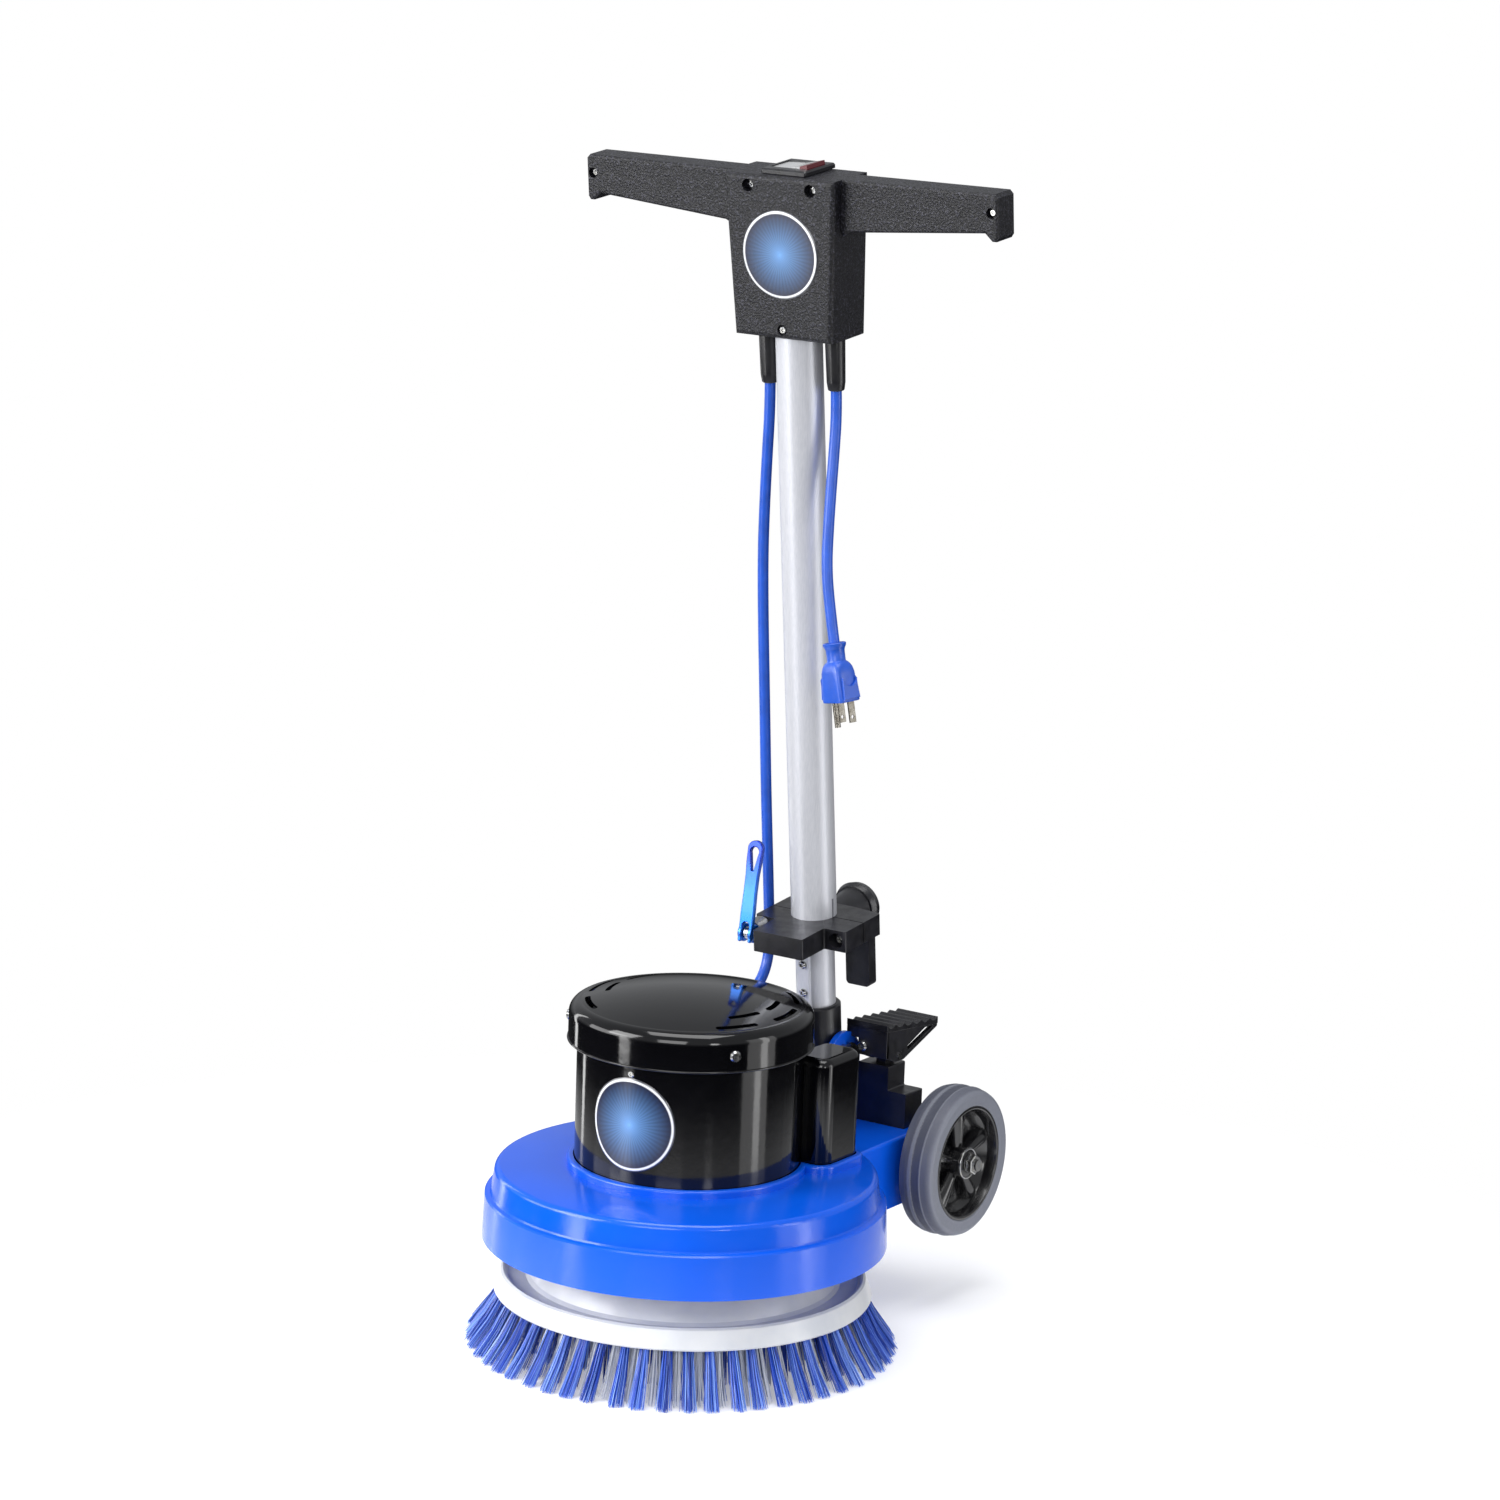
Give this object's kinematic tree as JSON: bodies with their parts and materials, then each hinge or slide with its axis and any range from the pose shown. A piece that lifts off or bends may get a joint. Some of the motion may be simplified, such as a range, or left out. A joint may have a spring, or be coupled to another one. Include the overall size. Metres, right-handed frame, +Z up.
{
  "type": "rotary floor machine",
  "caption": "Walk-behind rotary floor machine: round deck over a spinning brush, drum motor on top, leaning tube handle with cross grip, two transport wheels, foot pedal and hanging power cord.",
  "frame": {"origin": "where the brush's spin axis meets the floor, at the bristle tips", "axes": "+Z up along the brush's spin axis, -Y towards the front of the deck, +Y towards the wheels and the operator, +X to the operator's left as they face the deck from behind, the side of the capacitor cover and foot pedal"},
  "size_m": [0.39, 0.472, 0.954],
  "materials": {
    "badge_face": "printed",
    "blade_brass": "plated",
    "bristle_blue": "satin",
    "bristle_pale": "satin",
    "brush_white": "satin",
    "bush_nylon": "natural",
    "capacitor_grey": "satin",
    "cast_metal": "as cast",
    "cord_blue": "satin",
    "head_black": "textured",
    "housing_blue": "gloss",
    "hub_black": "gloss",
    "lamination_steel": "varnished",
    "lever_blue": "anodised",
    "machined_steel": "machined",
    "motor_black": "gloss",
    "part_black": "satin",
    "rocker_grey": "satin",
    "tube_aluminium": "satin",
    "tyre_grey": "matt",
    "zinc_steel": "bright zinc"
  },
  "bodies": {
    "deck": {"deck_housing": "housing_blue", "handle_yoke": "housing_blue", "yoke_screws": "zinc_steel", "motor_base_plate": "cast_metal", "motor_can": "motor_black", "stator": "lamination_steel", "end_bell": "cast_metal", "motor_cap": "motor_black", "motor_screws": "zinc_steel", "motor_badge": "badge_face", "bearings": "machined_steel", "capacitor_cover": "motor_black", "capacitor": "capacitor_grey", "gear_case": "cast_metal", "ring_gear": "machined_steel", "axle": "zinc_steel", "wheel_fasteners": "zinc_steel", "lock_bracket": "part_black", "pedal_spring": "zinc_steel", "lead_grommet": "part_black", "motor_lead_lower": "cord_blue"},
    "rotor": {"rotor_shaft": "machined_steel", "rotor_core": "machined_steel", "cooling_fan": "part_black"},
    "brush": {"planet_carrier": "machined_steel", "brush_driver": "part_black", "brush_block": "brush_white", "outer_bristles": "bristle_blue", "inner_bristles": "bristle_pale"},
    "planet_one": {"planet_gear_1": "machined_steel"},
    "planet_two": {"planet_gear_2": "machined_steel"},
    "planet_three": {"planet_gear_3": "machined_steel"},
    "wheel_left": {"tyre_left": "tyre_grey", "hub_left": "hub_black"},
    "wheel_right": {"tyre_right": "tyre_grey", "hub_right": "hub_black"},
    "pedal": {"foot_pedal": "part_black", "pedal_fasteners": "zinc_steel"},
    "handle_lower": {"handle_socket": "part_black", "pivot_shaft": "zinc_steel", "lower_tube": "tube_aluminium", "key_strip": "tube_aluminium", "key_screws": "zinc_steel"},
    "handle_upper": {"upper_tube": "tube_aluminium", "tube_bush": "bush_nylon", "clamp_front": "part_black", "clamp_rear": "part_black", "clamp_fasteners": "zinc_steel", "head_front": "head_black", "head_rear": "head_black", "head_screws": "zinc_steel", "head_badge": "badge_face", "switch_bezel": "part_black", "strain_reliefs": "part_black", "motor_lead_upper": "cord_blue", "power_cord": "cord_blue", "plug_body": "cord_blue", "plug_blades": "blade_brass"},
    "lever": {"cam_lever": "lever_blue"},
    "rocker": {"rocker": "rocker_grey"}
  },
  "joints": [
    {"name": "brush_spin", "type": "hinge", "parent": "deck", "child": "brush", "pos_m": [0, 0, 0.09], "axis": [0, 0, 1], "continuous": true},
    {"name": "rotor_spin", "type": "hinge", "parent": "deck", "child": "rotor", "pos_m": [0, 0, 0.2], "axis": [0, 0, 1], "continuous": true},
    {"name": "planet_one_spin", "type": "hinge", "parent": "brush", "child": "planet_one", "pos_m": [0.0288, 0, 0.12], "axis": [0, 0, 1], "continuous": true},
    {"name": "planet_two_spin", "type": "hinge", "parent": "brush", "child": "planet_two", "pos_m": [-0.0144, 0.02494, 0.12], "axis": [0, 0, 1], "continuous": true},
    {"name": "planet_three_spin", "type": "hinge", "parent": "brush", "child": "planet_three", "pos_m": [-0.0144, -0.02494, 0.12], "axis": [0, 0, 1], "continuous": true},
    {"name": "wheel_left_spin", "type": "hinge", "parent": "deck", "child": "wheel_left", "pos_m": [-0.1115, 0.231, 0.121], "axis": [1, 0, 0], "continuous": true},
    {"name": "wheel_right_spin", "type": "hinge", "parent": "deck", "child": "wheel_right", "pos_m": [0.1115, 0.231, 0.121], "axis": [1, 0, 0], "continuous": true},
    {"name": "pedal_press", "type": "hinge", "parent": "deck", "child": "pedal", "pos_m": [0.0485, 0.219, 0.205], "axis": [-1, 0, 0], "range_deg": [0, 12], "stiffness_Nm_per_rad": 0.8, "springref_deg": -14.9},
    {"name": "handle_tilt", "type": "hinge", "parent": "deck", "child": "handle_lower", "pos_m": [0, 0.1893, 0.201], "axis": [-1, 0, 0], "range_deg": [0, 48]},
    {"name": "handle_height", "type": "slide", "parent": "handle_lower", "child": "handle_upper", "axis": [0, -0.1129, 0.9936], "range_m": [0, 0.12]},
    {"name": "cam_lever_open", "type": "hinge", "parent": "handle_upper", "child": "lever", "pos_m": [-0.0345, 0.1305, 0.31107], "axis": [1, 0, 0], "range_deg": [0, 90]},
    {"name": "rocker_switch", "type": "hinge", "parent": "handle_upper", "child": "rocker", "pos_m": [0, 0.10968, 0.94628], "axis": [0, 0.9936, 0.1129], "range_deg": [0, 14]}
  ],
  "couplings": [
    {"joint": "rotor_spin", "follows": "brush_spin", "ratio": 8},
    {"joint": "planet_one_spin", "follows": "brush_spin", "ratio": -2.3333},
    {"joint": "planet_two_spin", "follows": "brush_spin", "ratio": -2.3333},
    {"joint": "planet_three_spin", "follows": "brush_spin", "ratio": -2.3333}
  ]
}
